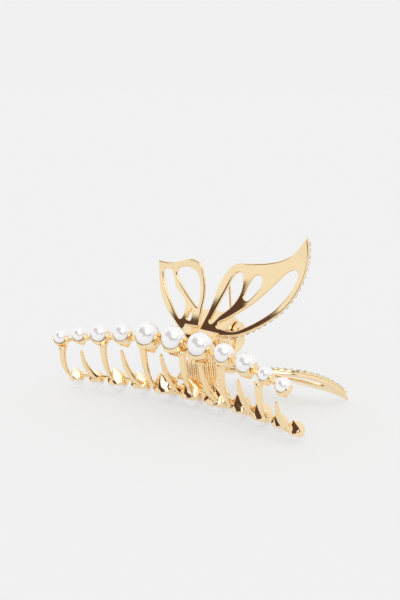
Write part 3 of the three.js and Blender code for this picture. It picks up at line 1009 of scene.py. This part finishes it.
def make_stones(name, face):
    """Brilliant-cut stones: crown facets round a flat table, and a pointed back."""
    bm = bmesh.new()
    for index, (centre, _) in enumerate(stone_places()):
        loops = []
        for tier, (across, depth) in enumerate(STONE_TIERS):
            ring = []
            for k in range(STONE_FACETS):
                turn = 2 * math.pi * (k + 0.5 * (tier % 2) + STONE_TURN * index) / STONE_FACETS
                x = centre.x + STONE_RADIUS * across * math.cos(turn)
                z = centre.y + STONE_RADIUS * across * math.sin(turn)
                ring.append(bm.verts.new(lay_on_wing(face, x, z, STONE_BASE - STONE_LIFT + depth)))
            loops.append(ring)
        for tier, (low, high) in enumerate(zip(loops, loops[1:])):
            for k in range(STONE_FACETS):
                nxt = (k + 1) % STONE_FACETS
                if tier % 2 == 0:
                    bm.faces.new((low[k], low[nxt], high[k]))
                    bm.faces.new((low[nxt], high[nxt], high[k]))
                else:
                    bm.faces.new((low[k], high[nxt], high[k]))
                    bm.faces.new((low[k], low[nxt], high[nxt]))
        bm.faces.new(loops[0])
        bm.faces.new(loops[-1])
    return to_object(bm, name)


def make_stone_band(name, face):
    """Rail behind the rim with a collet and four claws for each stone."""
    places = stone_places()
    outline = [c + inward * BAND_HALF_WIDTH for c, inward in places]
    outline += [c - inward * BAND_HALF_WIDTH for c, inward in reversed(places)]
    front = -WING_THICKNESS - RAIL_GAP
    thickness = front - STONE_BASE + STONE_LIFT

    def lay(x, z, depth):
        return lay_on_wing(face, x, z, front + depth)

    parts = [bent_plate("rail", [outline], thickness, RAIL_BEVEL, RAIL_GRID, lay)]
    for centre, inward in places:
        rings = []
        for across, depth in COLLET_PROFILE:
            ring = []
            for k in range(COLLET_SIDES):
                turn = 2 * math.pi * k / COLLET_SIDES
                x = centre.x + STONE_RADIUS * across * math.cos(turn)
                z = centre.y + STONE_RADIUS * across * math.sin(turn)
                ring.append(lay_on_wing(face, x, z, STONE_BASE + depth))
            rings.append(ring)
        parts.append(to_object(skin(rings), "collet"))
        heading = math.atan2(inward.y, inward.x)
        for k in range(4):
            turn = heading + math.radians(45 + 90 * k)
            x = centre.x + STONE_RADIUS * CLAW_SPREAD * math.cos(turn)
            z = centre.y + STONE_RADIUS * CLAW_SPREAD * math.sin(turn)
            claw = bmesh.new()
            bmesh.ops.create_icosphere(claw, subdivisions=2, radius=CLAW_RADIUS)
            place = Matrix.Translation(lay_on_wing(face, x, z, STONE_BASE - CLAW_RISE))
            bmesh.ops.transform(claw, matrix=place, verts=claw.verts)
            parts.append(to_object(claw, "claw"))
    band = united(parts)
    band.name = name
    return band


# ==== assembly ====
for jaw, side in JAWS:
    body = f"{jaw}_jaw"
    comb = make_comb(f"comb_{jaw}")
    if side < 0:
        comb.data.transform(Matrix.Rotation(math.pi, 4, "Y"))
    install(comb, body, GOLD, "gold_plate", COMB_CREASE, f"{jaw}_comb")

    plate = mirror(make_hinge_plate(jaw), side)
    install(plate, body, GOLD, "gold_plate", PLATE_CREASE, f"{jaw}_hinge_plate")

    face = FOREWING_FACE[jaw]
    forewing = make_wing(f"forewing_{jaw}", FOREWING_EDGE, FOREWING_OPENINGS, face)
    install(mirror(forewing, side), body, GOLD, "gold_plate", PLATE_CREASE, f"{jaw}_forewing")

    hindwing = make_wing(f"hindwing_{jaw}", HINDWING_EDGE, HINDWING_OPENINGS, HINDWING_FACE)
    install(mirror(hindwing, side), body, GOLD, "gold_plate", PLATE_CREASE, f"{jaw}_hindwing")

    stones = mirror(make_stones(f"stones_{jaw}", face), side)
    install(stones, body, CRYSTAL, "crystal", STONE_CREASE, f"{jaw}_rhinestones")

    band = mirror(make_stone_band(f"stone_band_{jaw}", face), side)
    install(band, body, GOLD, "gold_plate", SMALL_CREASE)

    for number, (radius, centre) in enumerate(pearl_seats(), 1):
        bead = mirror(make_pearl(f"pearl_{jaw}_{number:02d}", radius, centre), side)
        install(bead, body, PEARL, "pearl", PEARL_CREASE, f"{jaw}_pearl_{number:02d}")

install(make_pin(), "lower_jaw", GOLD, "gold_plate", SMALL_CREASE, "hinge_pin")
install(make_coil(), "lower_jaw", SPRING_GOLD, "spring_wire", WIRE_CREASE, "spring_coil")
install(make_upper_leg(), "upper_jaw", SPRING_GOLD, "spring_wire", WIRE_CREASE, "spring_upper_leg")


# ==== studio ====
def make_floor():
    """Wide table that ends just in front of the clip, on the camera's side."""
    front = direction(CAMERA_AZIMUTH, 0)
    side = direction(CAMERA_AZIMUTH + 90, 0) * FLOOR_HALF_SIZE
    near, far = front * FLOOR_FRONT, front * -FLOOR_HALF_SIZE
    corners = (near - side, near + side, far + side, far - side)
    bm = bmesh.new()
    bm.faces.new([bm.verts.new(corner) for corner in corners])
    floor = to_object(bm, "floor")
    floor.data.materials.append(floor_material())


def make_key_light():
    """One large soft light, up and to the right of the camera; the studio shows its reflection."""
    data = bpy.data.lights.new("key", "SUN")
    data.energy = KEY_STRENGTH
    data.angle = math.radians(KEY_ANGLE)
    key = bpy.data.objects.new("key", data)
    bpy.context.scene.collection.objects.link(key)
    key.visible_glossy = False
    key.visible_transmission = False
    towards = direction(KEY_AZIMUTH, KEY_ELEVATION)
    key.matrix_world = towards.to_track_quat("Z", "Y").to_matrix().to_4x4()


def math_node(nodes, links, operation, *inputs):
    node = nodes.new("ShaderNodeMath")
    node.operation = operation
    for socket, value in zip(node.inputs, inputs):
        if isinstance(value, (int, float)):
            socket.default_value = value
        else:
            links.new(value, socket)
    return node.outputs["Value"]


def smooth_step(nodes, links, value, low, high):
    node = nodes.new("ShaderNodeMapRange")
    node.interpolation_type = "SMOOTHSTEP"
    node.inputs["From Min"].default_value = low
    node.inputs["From Max"].default_value = high
    links.new(value, node.inputs["Value"])
    return node.outputs["Result"]


def make_studio():
    """White all round. Reflections also show the key light and a dark part behind the camera."""
    world = bpy.data.worlds.new("studio")
    bpy.context.scene.world = world
    world.use_nodes = True
    nodes, links = world.node_tree.nodes, world.node_tree.links
    place = nodes.new("ShaderNodeTexCoord")
    split = nodes.new("ShaderNodeSeparateXYZ")
    links.new(place.outputs["Generated"], split.inputs["Vector"])
    backwards = math_node(nodes, links, "MULTIPLY", split.outputs["Y"], -1)
    azimuth = math_node(nodes, links, "ARCTAN2", split.outputs["X"], backwards)
    elevation = math_node(nodes, links, "ARCSINE", split.outputs["Z"])
    degrees = math_node(nodes, links, "MULTIPLY", elevation, 180 / math.pi)
    position = math_node(nodes, links, "MULTIPLY_ADD", azimuth, 0.5 / math.pi, 0.5)
    ramp = nodes.new("ShaderNodeValToRGB")
    stops = ramp.color_ramp.elements
    while len(stops) < len(DARK_FROM):
        stops.new(0.5)
    for stop, (at, height) in zip(stops, DARK_FROM):
        stop.position = at / 360 + 0.5
        stop.color = grey(height / 180 + 0.5)
    links.new(position, ramp.inputs["Fac"])
    lowest = math_node(nodes, links, "MULTIPLY_ADD", ramp.outputs["Color"], 180, -90)
    over = math_node(nodes, links, "SUBTRACT", degrees, lowest)
    above = smooth_step(nodes, links, over, -DARK_EDGE_SOFTNESS, DARK_EDGE_SOFTNESS)
    soft_top = (DARK_TOP + DARK_TOP_SOFTNESS, DARK_TOP - DARK_TOP_SOFTNESS)
    under = smooth_step(nodes, links, degrees, *soft_top)
    dark = math_node(nodes, links, "MULTIPLY", above, under)
    room = mixed(nodes, links, dark, grey(SURROUND_LEVEL), DARK_COLOUR)
    towards_key = nodes.new("ShaderNodeVectorMath")
    towards_key.operation = "DOT_PRODUCT"
    links.new(place.outputs["Generated"], towards_key.inputs[0])
    towards_key.inputs[1].default_value = direction(KEY_AZIMUTH, KEY_ELEVATION)
    spreads = (KEY_SOFTNESS, -KEY_SOFTNESS)
    edges = [math.cos(math.radians(KEY_ANGLE / 2 + spread)) for spread in spreads]
    glow = smooth_step(nodes, links, towards_key.outputs["Value"], *edges)
    reflected = mixed(nodes, links, glow, room, grey(KEY_REFLECTION))
    path = nodes.new("ShaderNodeLightPath")
    lighting = mixed(nodes, links, path.outputs["Is Diffuse Ray"], reflected, grey(LIGHTING_LEVEL))
    shown = mixed(nodes, links, path.outputs["Is Camera Ray"], lighting, grey(BACKDROP_LEVEL))
    links.new(shown, nodes["Background"].inputs["Color"])


make_floor()
make_key_light()
make_studio()
bpy.context.scene.view_settings.view_transform = "Standard"
